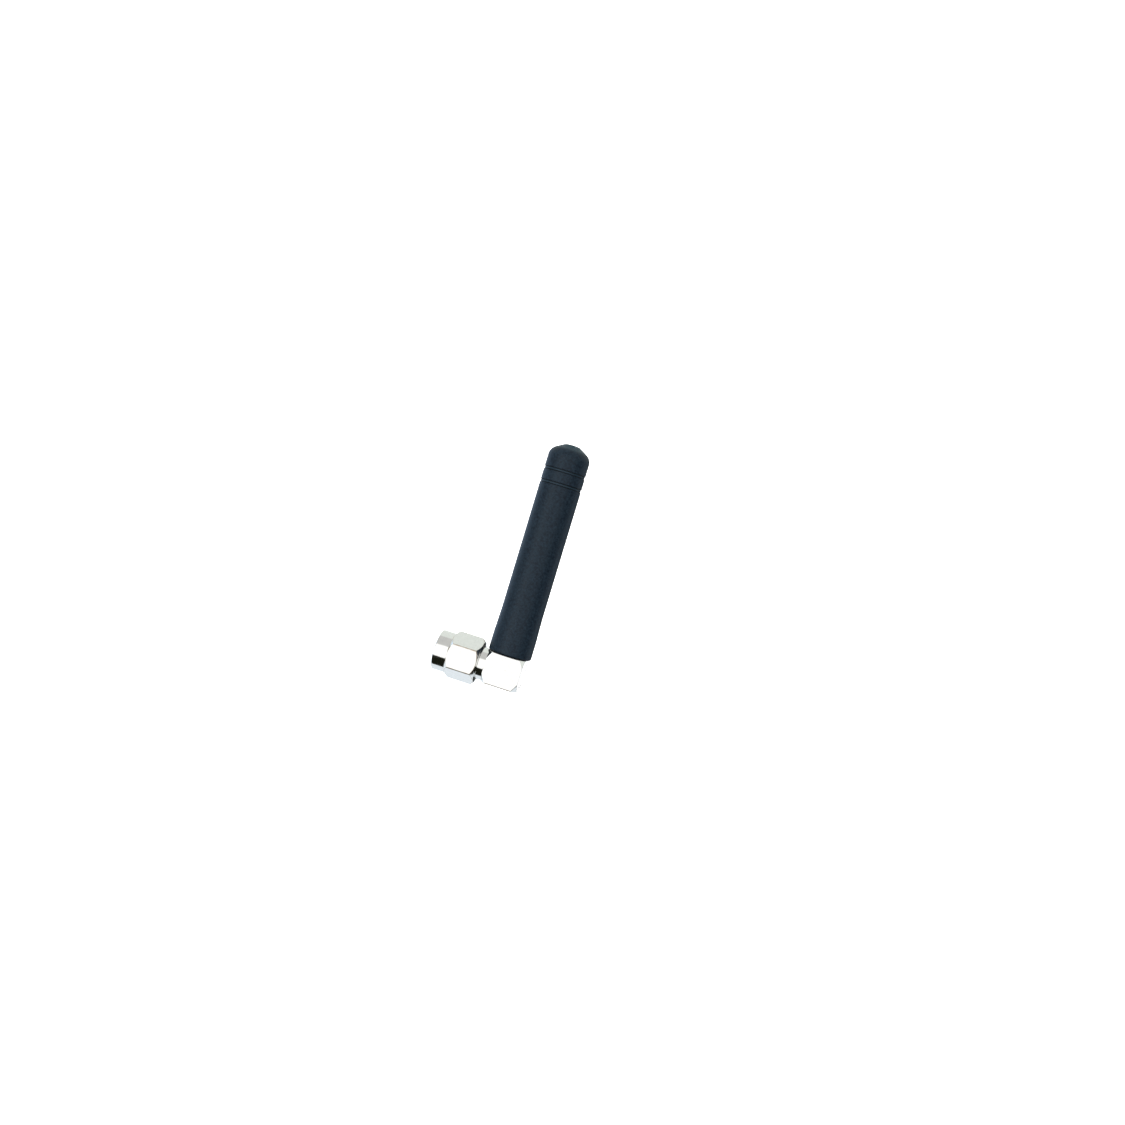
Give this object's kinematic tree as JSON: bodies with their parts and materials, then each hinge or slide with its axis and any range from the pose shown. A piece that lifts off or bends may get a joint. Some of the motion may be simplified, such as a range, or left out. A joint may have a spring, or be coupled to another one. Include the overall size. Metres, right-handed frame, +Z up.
{
  "type": "omnidirectional stub antenna",
  "caption": "Short rubber-sleeved whip antenna standing on a right-angle coaxial plug, with a square metal elbow and a hexagonal coupling nut that turns on it.",
  "frame": {"origin": "on the plug's axis, in the reference plane at the end face of its outer conductor", "axes": "-X out of the plug, the way the mating jack leaves; +X into the elbow; +Z up along the whip"},
  "size_m": [0.0177, 0.0082, 0.0489],
  "materials": {
    "sleeve_rubber": "matte moulded rubber, bluish charcoal",
    "helix_wire": "drawn copper-plated wire",
    "former_plastic": "natural polyethylene rod",
    "shrink_tube": "black heat-shrink tube",
    "turned_brass": "turned",
    "ptfe": "white PTFE",
    "plated_metal": "bright nickel plate over turned brass",
    "solder": "solder fillet",
    "gold_contact": "gold plate",
    "gasket_silicone": "red-brown silicone",
    "ring_bronze": "phosphor bronze wire",
    "nut_plated_metal": "bright nickel plate over turned brass"
  },
  "bodies": {
    "antenna": {"sleeve": "sleeve_rubber", "radiator_helix": "helix_wire", "helix_former": "former_plastic", "helix_shrink": "shrink_tube", "helix_ferrule": "turned_brass", "feed_pin": "turned_brass", "feed_insulator": "ptfe", "barbed_spigot": "plated_metal", "elbow_body": "plated_metal", "rear_cap": "plated_metal", "rear_insulator": "ptfe", "front_insulator": "ptfe", "solder_joint": "solder", "centre_contact": "gold_contact", "interface_gasket": "gasket_silicone"},
    "ring": {"retaining_ring": "ring_bronze"},
    "nut": {"coupling_nut": "nut_plated_metal"}
  },
  "joints": [
    {"name": "nut_float", "type": "slide", "parent": "antenna", "child": "ring", "axis": [1, 0, 0], "range_m": [0, 0.0003]},
    {"name": "nut_turn", "type": "hinge", "parent": "ring", "child": "nut", "pos_m": [0, 0, 0], "axis": [1, 0, 0], "continuous": true}
  ]
}
